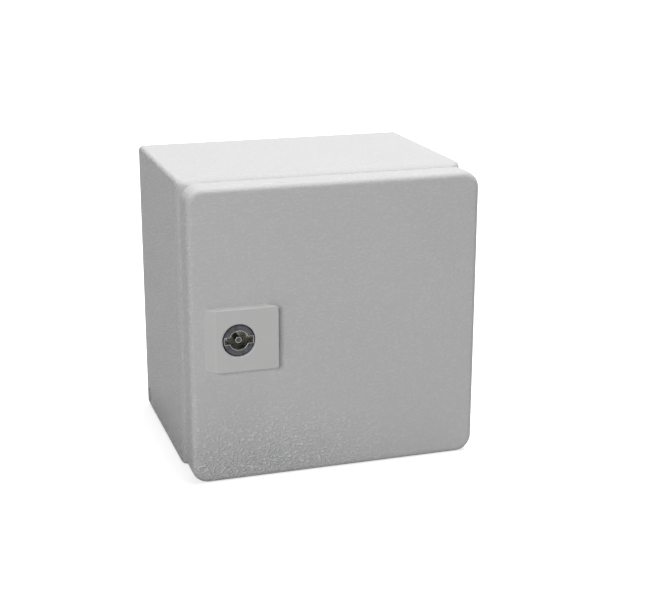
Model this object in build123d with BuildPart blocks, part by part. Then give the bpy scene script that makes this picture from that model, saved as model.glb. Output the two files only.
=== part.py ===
"""Small steel wall enclosure, 150 x 150 x 120 mm, with a concealed-hinge door and a cam lock.

Frame: X to the right, Y to the back, Z up, in millimetres. The origin is the centre of the
four wall holes, on the rear face. "Forward" sizes are measured from the rear face to the front,
so a plane at forward distance f is Plane.XZ.offset(f), at y = -f.
"""
from build123d import *
import math
import os

# Overall
WIDTH = 150.0
HEIGHT = 150.0
DEPTH = 120.0                # rear face to the door's front face
SHEET = 1.25                 # steel of the body

# Body
BODY_CORNER_R = 2.5          # outside bend of the four long edges
ROLL_R = 8.0                 # outside radius of the front edge, rolled inwards
SHOULDER_BACK = 21.2         # door's front face to the shoulder behind its flange
SHOULDER_FLAT = 1.5          # flat between the roll and the rim
RIM_CORNER_R = 6.0
RIM_BEND_R = 1.0             # hollow bend between shoulder and rim
SIDE_HOLE_D = 8.0            # plain hole in the left wall
SIDE_HOLE_FORWARD = 6.0
SIDE_HOLE_UP = 7.7
WALL_HOLE_D = 7.0
WALL_HOLE_INSET = 25.0       # from the body's sides

# Door
DOOR_SHEET = 1.25
DOOR_MARGIN = 0.05           # the door's outline stays inside the body's by this much
DOOR_FLANGE = 13.5           # front face to the flange's rear edge
DOOR_CORNER_R = 8.5
DOOR_EDGE_R = 3.0            # outside bend of the front face's edge
GASKET_THICK = 5.45
GASKET_WIDTH = 6.0
GASKET_CORNER_R = 6.0
GASKET_CROWN_R = 1.5
GASKET_GAP = 0.3             # foam to rim with the door shut

# Hinges
HINGE_INSET = 33.0           # from the body's top and bottom to the middle of a hinge
HINGE_LENGTH = 24.0
KNUCKLE_D = 6.4
KNUCKLE_GAP = 0.3            # between neighbouring knuckles
MIDDLE_KNUCKLE = 11.4
HINGE_SIDE_GAP = 0.45        # knuckle to the inside of the door's flange
HINGE_FORWARD = 0.5          # axis in front of the flange's rear edge
HINGE_PIN_D = 3.0
PIN_PLAY = 0.05              # radial
PIN_HEAD_D = 5.2
PIN_HEAD_T = 1.2
PIN_CHAMFER = 0.3
DOOR_LEAF_T = 1.5
LEAF_LAP = 0.3               # how far a body leaf is let into its knuckle
LEAF_NOTCH = 0.4             # leaf to the other leaf's knuckle
BODY_LEAF_TAIL = 1.5         # behind the axis
BODY_LEAF_REACH = 5.5        # in front of the axis
DOOR_LEAF_REACH = 9.0

# Mounting plate
PLATE_MARGIN = 16.0          # body's outside to the plate's edges
PLATE_T = 2.0
PLATE_NOTCH = 18.0           # corner cleared for the wall screws
PLATE_CORNER_R = 2.0
STUD_INSET_X = 9.0           # plate's sides to the studs
STUD_INSET_Z = 33.0          # plate's top and bottom to the studs
STUD_D = 5.0
STUD_LENGTH = 20.0
STUD_COLLAR_D = 9.0
STUD_COLLAR_H = 8.0
STUD_HOLE_PLAY = 0.25        # radial
RAIL_HOLE_D = 4.3
RAIL_HOLE_INSET = 21.5       # plate's sides to the rail holes

# Nuts and washers: M5 on the plate, M6 on the earth studs
M5_NUT_FLATS = 8.0
M5_NUT_H = 4.0
M5_WASHER_D = 10.0
M5_WASHER_T = 1.0
M6_NUT_FLATS = 10.0
M6_NUT_H = 5.0
M6_WASHER_D = 12.0
M6_WASHER_T = 1.6
EARTH_STUD_D = 6.0
EARTH_STUD_BODY_L = 18.0
EARTH_STUD_DOOR_L = 14.0
EARTH_BODY_IN = 45.0         # from the body's right side
EARTH_BODY_FORWARD = 50.0
EARTH_DOOR_IN = 39.8         # from the door's right edge
EARTH_DOOR_UP = 29.8         # from the door's lower edge
WASHER_PLAY = 0.15           # radial
THREAD_PLAY = 0.05           # radial
THREAD_CHAMFER = 0.5

# Lock: the housing's barrel sets the shank, the head, the door's hole, the screws and the cover
HOUSING_D = 17.6
HOUSING_WALL = 2.15
HOUSING_FLANGE_T = 2.5
HOUSING_END_GAP = 0.7        # housing to cam
FLANGE_EDGE = 0.8            # screw head to the flange's end
FLANGE_CORNER_R = 3.0
LOCK_SIDE_GAP = 1.7          # flange to the gasket
SEAL_T = 0.8
SEAL_LAND = 0.6              # seal beside the hole
SHANK_PLAY = 0.05            # radial
HEAD_STEP = 1.35             # head over shank, radial
INSERT_PLAY = 0.25           # radial, to the cover, the door and the seal
INSERT_RECESS = 0.6          # below the cover's front
INSERT_EDGE = 0.4
INSERT_HEAD_GAP = 0.15       # head to housing
KEY_BORE_D = 9.6
KEY_BORE_DEPTH = 11.0
KEY_SLOT_W = 3.3
KEY_SLOT_WALL = 0.7          # tip of a slot to the outside of the head
KEY_SLOT_DEPTH = 5.2
KEY_PIN_D = 3.0
KEY_PIN_RECESS = 1.0
COVER_BORDER = 3.7           # lock screws to the cover's top and bottom
COVER_T = 4.8
COVER_LEAN = 4.2             # the front face is shifted this far to the right of the base
COVER_CORNER_R = 1.2         # the four corners that rise from the door
COVER_EDGE_R = 0.5
LOCK_SCREW_D = 3.0
LOCK_SCREW_BITE = 3.2        # into the cover
LOCK_SCREW_HEAD_D = 5.4
LOCK_SCREW_HEAD_T = 2.0
LOCK_SCREW_HEAD_GAP = 0.8    # head to the housing's barrel
LOCK_SCREW_PLAY = 0.2        # radial, in the flange, the seal and the door
LOCK_SCREW_SOCKET = 2.0      # over the flats of the hexagon socket
LOCK_SCREW_SOCKET_DEPTH = 1.0
CAM_T = 2.5
CAM_GAP = 0.75               # cam to the inside of the shoulder
CAM_HUB_D = 16.0
CAM_WIDTH = 11.0
CAM_TIP_R = 2.2
CAM_HOOK = 3.75              # how far the turned cam reaches behind the rim
CAM_RAMP = 1.0
CAM_SQUARE = 7.0
CAM_SCREW_D = 4.0
CAM_SCREW_BITE = 8.0
CAM_SCREW_FLATS = 7.0
CAM_SCREW_HEAD_T = 2.8
CAM_WASHER_D = 9.0
CAM_WASHER_T = 0.8

PICK_RANGE = 0.001           # when a face or an edge is picked by its place

# Worked out from the sizes above
shoulder_f = DEPTH - SHOULDER_BACK
rim_inset = ROLL_R + SHOULDER_FLAT
rim_w = WIDTH - 2 * rim_inset
rim_h = HEIGHT - 2 * rim_inset
door_w = WIDTH - 2 * DOOR_MARGIN
door_h = HEIGHT - 2 * DOOR_MARGIN
door_in_f = DEPTH - DOOR_SHEET
door_rear_f = DEPTH - DOOR_FLANGE
gasket_f = door_in_f - GASKET_THICK
rim_f = gasket_f - GASKET_GAP
gasket_mid_w = rim_w - SHEET
gasket_mid_h = rim_h - SHEET
wall_hole_x = WIDTH - 2 * WALL_HOLE_INSET
wall_hole_z = HEIGHT - 2 * WALL_HOLE_INSET

knuckle_r = KNUCKLE_D / 2
flange_in_x = door_w / 2 - DOOR_SHEET
hinge_x = flange_in_x - HINGE_SIDE_GAP - knuckle_r
hinge_f = door_rear_f + HINGE_FORWARD
end_knuckle = (HINGE_LENGTH - MIDDLE_KNUCKLE - 2 * KNUCKLE_GAP) / 2
upper_hinge_z = HEIGHT / 2 - HINGE_INSET

plate_w = WIDTH - 2 * PLATE_MARGIN
plate_h = HEIGHT - 2 * PLATE_MARGIN
plate_f = SHEET + STUD_COLLAR_H
plate_front_f = plate_f + PLATE_T
studs_x = plate_w - 2 * STUD_INSET_X
studs_z = plate_h - 2 * STUD_INSET_Z
rail_holes_x = plate_w - 2 * RAIL_HOLE_INSET
earth_body_x = WIDTH / 2 - EARTH_BODY_IN
earth_door_x = door_w / 2 - EARTH_DOOR_IN
earth_door_z = -door_h / 2 + EARTH_DOOR_UP

shank_d = HOUSING_D - 2 * HOUSING_WALL - 2 * SHANK_PLAY
insert_d = shank_d + 2 * HEAD_STEP
key_slot_span = insert_d - 2 * KEY_SLOT_WALL
lock_hole_d = insert_d + 2 * INSERT_PLAY
lock_screws_z = HOUSING_D + LOCK_SCREW_HEAD_D + 2 * LOCK_SCREW_HEAD_GAP
cover_size = lock_screws_z + 2 * COVER_BORDER
flange_w = lock_hole_d + 2 * SEAL_LAND
flange_l = lock_screws_z + LOCK_SCREW_HEAD_D + 2 * FLANGE_EDGE
lock_x = -(gasket_mid_w - GASKET_WIDTH) / 2 + LOCK_SIDE_GAP + flange_w / 2
cover_f = DEPTH + COVER_T
insert_f = cover_f - INSERT_RECESS
seal_f = door_in_f - SEAL_T
flange_back_f = seal_f - HOUSING_FLANGE_T
head_back_f = seal_f + INSERT_HEAD_GAP
cam_f = shoulder_f - SHEET - CAM_GAP
cam_back_f = cam_f - CAM_T
housing_end_f = cam_f + HOUSING_END_GAP
cam_reach = lock_x + rim_w / 2 - SHEET + CAM_HOOK

os.makedirs("parts", exist_ok=True)


def save(builder, name):
    """Label a finished piece and write it as its own file."""
    builder.part.label = name
    export_step(builder.part, f"parts/{name}.step")
    print(name, len(builder.part.solids()), round(builder.part.volume, 1))


def on_plane(shapes, forward):
    """Those of the faces or edges that lie at this forward distance."""
    return shapes.filter_by_position(Axis.Y, -forward - PICK_RANGE, -forward + PICK_RANGE)


def rolled_block(inset):
    """Block inside the body's outside surface (inset 0) or inside its inner one (inset SHEET).

    A plan profile and a side profile, each with rolled front corners, cross each other, which
    mitres the roll at the four corners. The inner block runs out through the open back.
    """
    width = WIDTH - 2 * inset
    height = HEIGHT - 2 * inset
    front = shoulder_f - inset
    length = front + inset
    with BuildPart() as block:
        with BuildSketch(Plane.XY) as plan:
            with Locations((0, inset)):
                Rectangle(width, length, align=(Align.CENTER, Align.MAX))
            fillet(plan.vertices().group_by(Axis.Y)[0], ROLL_R - inset)
        extrude(amount=height / 2, both=True)
        with BuildSketch(Plane.YZ) as side:
            with Locations((inset, 0)):
                Rectangle(length, height, align=(Align.MAX, Align.CENTER))
            fillet(side.vertices().group_by(Axis.X)[0], ROLL_R - inset)
        extrude(amount=width / 2, both=True, mode=Mode.INTERSECT)
        with BuildSketch(Plane.XZ.offset(-inset)):
            RectangleRounded(width, height, BODY_CORNER_R - inset)
        extrude(amount=length, mode=Mode.INTERSECT)
    return block.part


def hexagon(across_flats, height):
    """Hexagon standing on XY, its corners turned off at both ends."""
    corner_r = across_flats / math.sqrt(3)
    turned_r = across_flats / 2
    drop = (corner_r - turned_r) * math.tan(math.radians(30))
    with BuildPart() as head:
        with BuildSketch():
            RegularPolygon(turned_r, 6, major_radius=False)
        extrude(amount=height)
        with BuildSketch(Plane.XZ):
            with BuildLine():
                Polyline(
                    (0, 0),
                    (turned_r, 0),
                    (corner_r, drop),
                    (corner_r, height - drop),
                    (turned_r, height),
                    (0, height),
                    close=True,
                )
            make_face()
        revolve(axis=Axis.Z, mode=Mode.INTERSECT)
    return head.part


def hex_nut(across_flats, height, hole_d):
    """Hexagon nut standing on XY."""
    blank = hexagon(across_flats, height)
    with BuildPart() as nut:
        add(blank)
        Hole(hole_d / 2)
    return nut.part


def washer(outer_d, inner_d, thickness):
    """Flat washer standing on XY."""
    with BuildPart() as ring:
        with BuildSketch():
            Circle(outer_d / 2)
            Circle(inner_d / 2, mode=Mode.SUBTRACT)
        extrude(amount=thickness)
    return ring.part


def stud(diameter, length):
    """Plain stud standing on XY with a chamfered tip."""
    with BuildPart() as rod:
        Cylinder(diameter / 2, length, align=(Align.CENTER, Align.CENTER, Align.MIN))
        chamfer(rod.edges().sort_by(Axis.Z)[-1], THREAD_CHAMFER)
    return rod.part


# Body shell: four walls of one sheet, front edge rolled inwards and turned forward to a rim
outer_block = rolled_block(0.0)
inner_block = rolled_block(SHEET)
with BuildPart() as body_shell:
    add(outer_block)
    add(inner_block, mode=Mode.SUBTRACT)
    with BuildSketch(Plane.XZ.offset(shoulder_f - SHEET)):
        RectangleRounded(rim_w, rim_h, RIM_CORNER_R)
    extrude(amount=rim_f - shoulder_f + SHEET)
    with BuildSketch(Plane.XZ.offset(shoulder_f - SHEET)):
        RectangleRounded(rim_w - 2 * SHEET, rim_h - 2 * SHEET, RIM_CORNER_R - SHEET)
    extrude(amount=rim_f - shoulder_f + SHEET, mode=Mode.SUBTRACT)
    shoulder = on_plane(body_shell.faces(), shoulder_f)[0]
    fillet(shoulder.inner_wires()[0].edges(), RIM_BEND_R)
    inside = on_plane(body_shell.faces(), shoulder_f - SHEET)[0]
    fillet(inside.inner_wires()[0].edges(), RIM_BEND_R + SHEET)
    with Locations(
        Plane(
            origin=(-WIDTH / 2, -SIDE_HOLE_FORWARD, -HEIGHT / 2 + SIDE_HOLE_UP),
            z_dir=(-1, 0, 0),
        )
    ):
        Hole(SIDE_HOLE_D / 2, depth=2 * SHEET)
save(body_shell, "body_shell")

# Rear panel: flat sheet welded in flush with the wrap's rear edge
with BuildPart() as rear_panel:
    with BuildSketch(Plane.XZ):
        RectangleRounded(WIDTH - 2 * SHEET, HEIGHT - 2 * SHEET, BODY_CORNER_R - SHEET)
        with GridLocations(wall_hole_x, wall_hole_z, 2, 2):
            Circle(WALL_HOLE_D / 2, mode=Mode.SUBTRACT)
    extrude(amount=SHEET)
save(rear_panel, "rear_panel")

# Four welded studs, each with a collar that spaces the plate off the rear panel
with BuildPart(Plane.XZ.offset(SHEET)) as plate_studs:
    with GridLocations(studs_x, studs_z, 2, 2):
        add(stud(STUD_D, STUD_LENGTH))
        Cylinder(
            STUD_COLLAR_D / 2,
            STUD_COLLAR_H,
            align=(Align.CENTER, Align.CENTER, Align.MIN),
        )
save(plate_studs, "plate_studs")

# Mounting plate, its corners cleared in front of the wall holes
with BuildPart() as mounting_plate:
    with BuildSketch(Plane.XZ.offset(plate_f)) as plate_outline:
        Rectangle(plate_w, plate_h)
        with GridLocations(plate_w, plate_h, 2, 2):
            Rectangle(2 * PLATE_NOTCH, 2 * PLATE_NOTCH, mode=Mode.SUBTRACT)
        fillet(plate_outline.vertices(), PLATE_CORNER_R)
        with GridLocations(studs_x, studs_z, 2, 2):
            Circle(STUD_D / 2 + STUD_HOLE_PLAY, mode=Mode.SUBTRACT)
        with GridLocations(rail_holes_x, 0, 2, 1):
            Circle(RAIL_HOLE_D / 2, mode=Mode.SUBTRACT)
    extrude(amount=PLATE_T)
save(mounting_plate, "mounting_plate")

with BuildPart(Plane.XZ.offset(plate_front_f)) as plate_washers:
    with GridLocations(studs_x, studs_z, 2, 2):
        add(washer(M5_WASHER_D, STUD_D + 2 * WASHER_PLAY, M5_WASHER_T))
save(plate_washers, "plate_washers")

with BuildPart(Plane.XZ.offset(plate_front_f + M5_WASHER_T)) as plate_nuts:
    with GridLocations(studs_x, studs_z, 2, 2):
        add(hex_nut(M5_NUT_FLATS, M5_NUT_H, STUD_D + 2 * THREAD_PLAY))
save(plate_nuts, "plate_nuts")

# Earthing point of the body, standing on the floor of the box
body_earth_base = Plane(origin=(earth_body_x, -EARTH_BODY_FORWARD, SHEET - HEIGHT / 2), z_dir=(0, 0, 1))
with BuildPart(body_earth_base) as body_earth_stud:
    add(stud(EARTH_STUD_D, EARTH_STUD_BODY_L))
save(body_earth_stud, "body_earth_stud")

with BuildPart(body_earth_base) as body_earth_washer:
    add(washer(M6_WASHER_D, EARTH_STUD_D + 2 * WASHER_PLAY, M6_WASHER_T))
save(body_earth_washer, "body_earth_washer")

with BuildPart(body_earth_base.offset(M6_WASHER_T)) as body_earth_nut:
    add(hex_nut(M6_NUT_FLATS, M6_NUT_H, EARTH_STUD_D + 2 * THREAD_PLAY))
save(body_earth_nut, "body_earth_nut")

# Door: shallow pan with soft corners
with BuildPart() as door_panel:
    with BuildSketch(Plane.XZ.offset(door_rear_f)):
        RectangleRounded(door_w, door_h, DOOR_CORNER_R)
    extrude(amount=DOOR_FLANGE)
    fillet(door_panel.faces().sort_by(Axis.Y)[0].edges(), DOOR_EDGE_R)
    offset(amount=-DOOR_SHEET, openings=door_panel.faces().sort_by(Axis.Y)[-1])
    with BuildSketch(Plane.XZ.offset(door_in_f)):
        with Locations((lock_x, 0)):
            Circle(lock_hole_d / 2)
            with GridLocations(0, lock_screws_z, 1, 2):
                Circle(LOCK_SCREW_D / 2 + LOCK_SCREW_PLAY)
    extrude(amount=DOOR_SHEET, mode=Mode.SUBTRACT)
save(door_panel, "door_panel")

# Foamed gasket, a crowned bead that faces the rim
with BuildPart() as door_gasket:
    with BuildSketch(Plane.XZ.offset(door_in_f)):
        RectangleRounded(
            gasket_mid_w + GASKET_WIDTH,
            gasket_mid_h + GASKET_WIDTH,
            GASKET_CORNER_R + GASKET_WIDTH / 2,
        )
        RectangleRounded(
            gasket_mid_w - GASKET_WIDTH,
            gasket_mid_h - GASKET_WIDTH,
            GASKET_CORNER_R - GASKET_WIDTH / 2,
            mode=Mode.SUBTRACT,
        )
    extrude(amount=-GASKET_THICK)
    fillet(door_gasket.faces().sort_by(Axis.Y)[-1].edges(), GASKET_CROWN_R)
save(door_gasket, "door_gasket")


def hinge_ranges(mid_z):
    """Lower and upper end of each knuckle: the lower one, the middle one and the upper one."""
    low = mid_z - HINGE_LENGTH / 2
    half_mid = MIDDLE_KNUCKLE / 2
    return [
        (low, low + end_knuckle),
        (mid_z - half_mid, mid_z + half_mid),
        (mid_z + half_mid + KNUCKLE_GAP, mid_z + HINGE_LENGTH / 2),
    ]


def box_between(x_low, x_high, f_low, f_high, z_low, z_high):
    """Add a box given by its limits to the part being built."""
    with Locations(((x_low + x_high) / 2, -(f_low + f_high) / 2, (z_low + z_high) / 2)):
        Box(x_high - x_low, f_high - f_low, z_high - z_low)


def hinge_leaf(mid_z, knuckles, x_low, x_high, tail, reach):
    """Leaf along a flat, with a knuckle rolled at each of the given ranges round the pin."""
    notch_f = hinge_f + knuckle_r + LEAF_NOTCH
    with BuildPart() as leaf:
        box_between(
            x_low,
            x_high,
            notch_f,
            hinge_f + reach,
            mid_z - HINGE_LENGTH / 2,
            mid_z + HINGE_LENGTH / 2,
        )
        for z_low, z_high in knuckles:
            box_between(x_low, x_high, hinge_f - tail, notch_f, z_low, z_high)
            with BuildSketch(Plane.XY.offset(z_low)):
                with Locations((hinge_x, -hinge_f)):
                    Circle(knuckle_r)
            extrude(amount=z_high - z_low)
            with BuildSketch(Plane.XY.offset(z_low)):
                with Locations((hinge_x, -hinge_f)):
                    Circle(HINGE_PIN_D / 2 + PIN_PLAY)
            extrude(amount=z_high - z_low, mode=Mode.SUBTRACT)
    return leaf.part


# Two concealed butt hinges in the channel between the rim and the door's flange
for where, hinge_z in (("upper", upper_hinge_z), ("lower", -upper_hinge_z)):
    lower_end, middle, upper_end = hinge_ranges(hinge_z)

    with BuildPart() as body_leaf:
        add(
            hinge_leaf(
                hinge_z,
                [middle],
                rim_w / 2,
                hinge_x - knuckle_r + LEAF_LAP,
                BODY_LEAF_TAIL,
                BODY_LEAF_REACH,
            )
        )
    save(body_leaf, f"{where}_body_leaf")

    with BuildPart() as door_leaf:
        add(
            hinge_leaf(
                hinge_z,
                [lower_end, upper_end],
                flange_in_x - DOOR_LEAF_T,
                flange_in_x,
                HINGE_FORWARD,
                DOOR_LEAF_REACH,
            )
        )
    save(door_leaf, f"{where}_door_leaf")

    with BuildPart() as hinge_pin:
        with BuildSketch(Plane.XY.offset(hinge_z - HINGE_LENGTH / 2)):
            with Locations((hinge_x, -hinge_f)):
                Circle(HINGE_PIN_D / 2)
        extrude(amount=HINGE_LENGTH)
        with BuildSketch(Plane.XY.offset(hinge_z + HINGE_LENGTH / 2 + PIN_PLAY)):
            with Locations((hinge_x, -hinge_f)):
                Circle(PIN_HEAD_D / 2)
        extrude(amount=PIN_HEAD_T)
        with BuildSketch(Plane.XY.offset(hinge_z + HINGE_LENGTH / 2)):
            with Locations((hinge_x, -hinge_f)):
                Circle(HINGE_PIN_D / 2)
        extrude(amount=PIN_PLAY)
        chamfer(hinge_pin.edges().sort_by(Axis.Z)[0], PIN_CHAMFER)
    save(hinge_pin, f"{where}_hinge_pin")

# Earthing point of the door, standing on the door's inner face
door_earth_base = Plane(origin=(earth_door_x, -door_in_f, earth_door_z), z_dir=(0, 1, 0))
with BuildPart(door_earth_base) as door_earth_stud:
    add(stud(EARTH_STUD_D, EARTH_STUD_DOOR_L))
save(door_earth_stud, "door_earth_stud")

with BuildPart(door_earth_base) as door_earth_washer:
    add(washer(M6_WASHER_D, EARTH_STUD_D + 2 * WASHER_PLAY, M6_WASHER_T))
save(door_earth_washer, "door_earth_washer")

with BuildPart(door_earth_base.offset(M6_WASHER_T)) as door_earth_nut:
    add(hex_nut(M6_NUT_FLATS, M6_NUT_H, EARTH_STUD_D + 2 * THREAD_PLAY))
save(door_earth_nut, "door_earth_nut")

# Lock cover: a square slab that leans to the right, so that its right edge is a finger grip
with BuildPart() as lock_cover:
    with BuildSketch(Plane.XY.offset(-cover_size / 2)):
        with BuildLine():
            Polyline(
                (lock_x - cover_size / 2, -DEPTH),
                (lock_x + cover_size / 2, -DEPTH),
                (lock_x + cover_size / 2 + COVER_LEAN, -cover_f),
                (lock_x - cover_size / 2 + COVER_LEAN, -cover_f),
                close=True,
            )
        make_face()
    extrude(amount=cover_size)
    base_edges = on_plane(lock_cover.edges(), DEPTH)
    front_edges = on_plane(lock_cover.edges(), cover_f)
    fillet(lock_cover.edges() - base_edges - front_edges, COVER_CORNER_R)
    fillet(lock_cover.faces().sort_by(Axis.Y)[0].edges(), COVER_EDGE_R)
    with BuildSketch(Plane.XZ.offset(DEPTH)):
        with Locations((lock_x, 0)):
            Circle(lock_hole_d / 2)
    extrude(amount=COVER_T, mode=Mode.SUBTRACT)
    with BuildSketch(Plane.XZ.offset(DEPTH)):
        with Locations((lock_x, 0)):
            with GridLocations(0, lock_screws_z, 1, 2):
                Circle(LOCK_SCREW_D / 2 + THREAD_PLAY)
    extrude(amount=LOCK_SCREW_BITE + THREAD_PLAY, mode=Mode.SUBTRACT)
save(lock_cover, "lock_cover")

# Seal and housing share one outline behind the door
with BuildPart() as lock_seal:
    with BuildSketch(Plane.XZ.offset(seal_f)):
        with Locations((lock_x, 0)):
            RectangleRounded(flange_w, flange_l, FLANGE_CORNER_R)
            Circle(lock_hole_d / 2, mode=Mode.SUBTRACT)
            with GridLocations(0, lock_screws_z, 1, 2):
                Circle(LOCK_SCREW_D / 2 + LOCK_SCREW_PLAY, mode=Mode.SUBTRACT)
    extrude(amount=SEAL_T)
save(lock_seal, "lock_seal")

with BuildPart() as lock_housing:
    with BuildSketch(Plane.XZ.offset(flange_back_f)):
        with Locations((lock_x, 0)):
            RectangleRounded(flange_w, flange_l, FLANGE_CORNER_R)
    extrude(amount=HOUSING_FLANGE_T)
    with BuildSketch(Plane.XZ.offset(housing_end_f)):
        with Locations((lock_x, 0)):
            Circle(HOUSING_D / 2)
    extrude(amount=flange_back_f - housing_end_f)
    with BuildSketch(Plane.XZ.offset(housing_end_f)):
        with Locations((lock_x, 0)):
            Circle(shank_d / 2 + SHANK_PLAY)
    extrude(amount=seal_f - housing_end_f, mode=Mode.SUBTRACT)
    with BuildSketch(Plane.XZ.offset(flange_back_f)):
        with Locations((lock_x, 0)):
            with GridLocations(0, lock_screws_z, 1, 2):
                Circle(LOCK_SCREW_D / 2 + LOCK_SCREW_PLAY)
    extrude(amount=HOUSING_FLANGE_T, mode=Mode.SUBTRACT)
save(lock_housing, "lock_housing")

# Two screws from inside, through flange, seal and door into the cover
lock_screw_base = Plane(origin=(lock_x, -flange_back_f, 0), x_dir=(1, 0, 0), z_dir=(0, 1, 0))
with BuildPart(lock_screw_base) as lock_screws:
    with GridLocations(0, lock_screws_z, 1, 2):
        Cylinder(
            LOCK_SCREW_HEAD_D / 2,
            LOCK_SCREW_HEAD_T,
            align=(Align.CENTER, Align.CENTER, Align.MIN),
        )
        Cylinder(
            LOCK_SCREW_D / 2,
            DEPTH + LOCK_SCREW_BITE - flange_back_f,
            align=(Align.CENTER, Align.CENTER, Align.MAX),
        )
    with BuildSketch(lock_screw_base.offset(LOCK_SCREW_HEAD_T)):
        with GridLocations(0, lock_screws_z, 1, 2):
            RegularPolygon(LOCK_SCREW_SOCKET / 2, 6, major_radius=False)
    extrude(amount=-LOCK_SCREW_SOCKET_DEPTH, mode=Mode.SUBTRACT)
save(lock_screws, "lock_screws")

# Turning insert: head with the double-bit socket, shank, square for the cam
with BuildPart() as lock_insert:
    with BuildSketch(Plane.XZ.offset(head_back_f)):
        with Locations((lock_x, 0)):
            Circle(insert_d / 2)
    extrude(amount=insert_f - head_back_f)
    chamfer(lock_insert.faces().sort_by(Axis.Y)[0].edges(), INSERT_EDGE)
    with BuildSketch(Plane.XZ.offset(cam_f)):
        with Locations((lock_x, 0)):
            Circle(shank_d / 2)
    extrude(amount=head_back_f - cam_f)
    with BuildSketch(Plane.XZ.offset(cam_back_f)):
        with Locations((lock_x, 0)):
            Rectangle(CAM_SQUARE, CAM_SQUARE)
    extrude(amount=CAM_T)
    with BuildSketch(Plane.XZ.offset(insert_f)):
        with Locations((lock_x, 0)):
            Rectangle(key_slot_span, KEY_SLOT_W)
            Circle(key_slot_span / 2, mode=Mode.INTERSECT)
    extrude(amount=-KEY_SLOT_DEPTH, mode=Mode.SUBTRACT)
    with BuildSketch(Plane.XZ.offset(insert_f)):
        with Locations((lock_x, 0)):
            Circle(KEY_BORE_D / 2)
            Circle(KEY_PIN_D / 2, mode=Mode.SUBTRACT)
    extrude(amount=-KEY_BORE_DEPTH, mode=Mode.SUBTRACT)
    with BuildSketch(Plane.XZ.offset(insert_f - KEY_BORE_DEPTH)):
        with Locations((lock_x, 0)):
            Circle(KEY_PIN_D / 2)
    extrude(amount=KEY_BORE_DEPTH - KEY_PIN_RECESS)
    with BuildSketch(Plane.XZ.offset(cam_back_f)):
        with Locations((lock_x, 0)):
            Circle(CAM_SCREW_D / 2 + THREAD_PLAY)
    extrude(amount=CAM_SCREW_BITE + THREAD_PLAY, mode=Mode.SUBTRACT)
save(lock_insert, "lock_insert")

# Cam, unlocked: it hangs down, and a quarter turn brings it behind the left rim
with BuildPart() as lock_cam:
    with BuildSketch(Plane.XZ.offset(cam_back_f)):
        with Locations((lock_x, 0)):
            Circle(CAM_HUB_D / 2)
            Rectangle(CAM_WIDTH, cam_reach, align=(Align.CENTER, Align.MAX))
            Rectangle(CAM_SQUARE, CAM_SQUARE, mode=Mode.SUBTRACT)
    extrude(amount=CAM_T)
    tip = lock_cam.faces().filter_by(Axis.Z).sort_by(Axis.Z)[0]
    fillet(tip.edges().filter_by(Axis.Y), CAM_TIP_R)
    tip = lock_cam.faces().filter_by(Axis.Z).sort_by(Axis.Z)[0]
    chamfer(tip.edges().sort_by(Axis.Y)[0], CAM_RAMP)
save(lock_cam, "lock_cam")

cam_screw_base = Plane(origin=(lock_x, -cam_back_f, 0), x_dir=(1, 0, 0), z_dir=(0, 1, 0))
with BuildPart(cam_screw_base) as cam_washer:
    add(washer(CAM_WASHER_D, CAM_SCREW_D + 2 * WASHER_PLAY, CAM_WASHER_T))
save(cam_washer, "cam_washer")

with BuildPart(cam_screw_base.offset(CAM_WASHER_T)) as cam_screw:
    add(hexagon(CAM_SCREW_FLATS, CAM_SCREW_HEAD_T))
    Cylinder(
        CAM_SCREW_D / 2,
        CAM_WASHER_T + CAM_SCREW_BITE,
        align=(Align.CENTER, Align.CENTER, Align.MAX),
    )
save(cam_screw, "cam_screw")
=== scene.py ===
# %% [markdown]
# # A small steel wall enclosure, dressed for its photograph
#
# The object is a light grey wall box of folded sheet steel, 150 mm square and 120 mm deep.
# Its door hangs on hinges that nobody sees from outside, and a small key lock under a square
# plastic cover holds it shut. The construction is already there as a frame of exact parts.
# This script gives those parts their finish, and models again the ones whose surface the eye
# reads first: the folded steel, the plastic cover, the lock's metal insert and the foam seal.

# %% [markdown]
# ## Load the frame
#
# Everything is in metres, with X to the right, Y to the back and Z up. The origin is the
# middle of the four wall holes on the rear face, so a point in front of that face has a
# negative y. The box of the untouched frame is kept and printed.

# %% Load the frame
import math
import bmesh
import bpy
from mathutils import Matrix, Vector


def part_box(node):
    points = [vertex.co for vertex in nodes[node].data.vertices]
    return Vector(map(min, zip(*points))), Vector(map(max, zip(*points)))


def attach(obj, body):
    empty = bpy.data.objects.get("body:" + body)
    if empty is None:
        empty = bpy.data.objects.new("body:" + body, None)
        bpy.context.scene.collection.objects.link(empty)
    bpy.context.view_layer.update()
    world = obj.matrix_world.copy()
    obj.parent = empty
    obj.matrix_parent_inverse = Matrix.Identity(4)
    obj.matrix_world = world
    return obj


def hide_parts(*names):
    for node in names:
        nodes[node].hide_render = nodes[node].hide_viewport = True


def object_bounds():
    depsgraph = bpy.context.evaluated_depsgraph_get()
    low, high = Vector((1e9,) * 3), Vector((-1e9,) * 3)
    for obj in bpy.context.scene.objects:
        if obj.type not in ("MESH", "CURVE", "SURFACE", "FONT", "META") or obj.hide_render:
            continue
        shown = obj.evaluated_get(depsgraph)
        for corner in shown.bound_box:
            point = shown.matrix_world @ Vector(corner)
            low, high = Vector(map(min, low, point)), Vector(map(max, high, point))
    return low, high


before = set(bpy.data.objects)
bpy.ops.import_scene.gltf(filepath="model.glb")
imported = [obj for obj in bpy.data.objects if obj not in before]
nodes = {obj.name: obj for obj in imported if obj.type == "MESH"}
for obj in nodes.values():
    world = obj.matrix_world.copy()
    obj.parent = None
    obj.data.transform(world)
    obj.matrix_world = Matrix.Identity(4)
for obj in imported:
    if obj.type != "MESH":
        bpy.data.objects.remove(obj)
cad_low, cad_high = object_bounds()
print("nodes:", len(nodes), "box:", [round(v, 4) for v in (*cad_low, *cad_high)])

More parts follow.
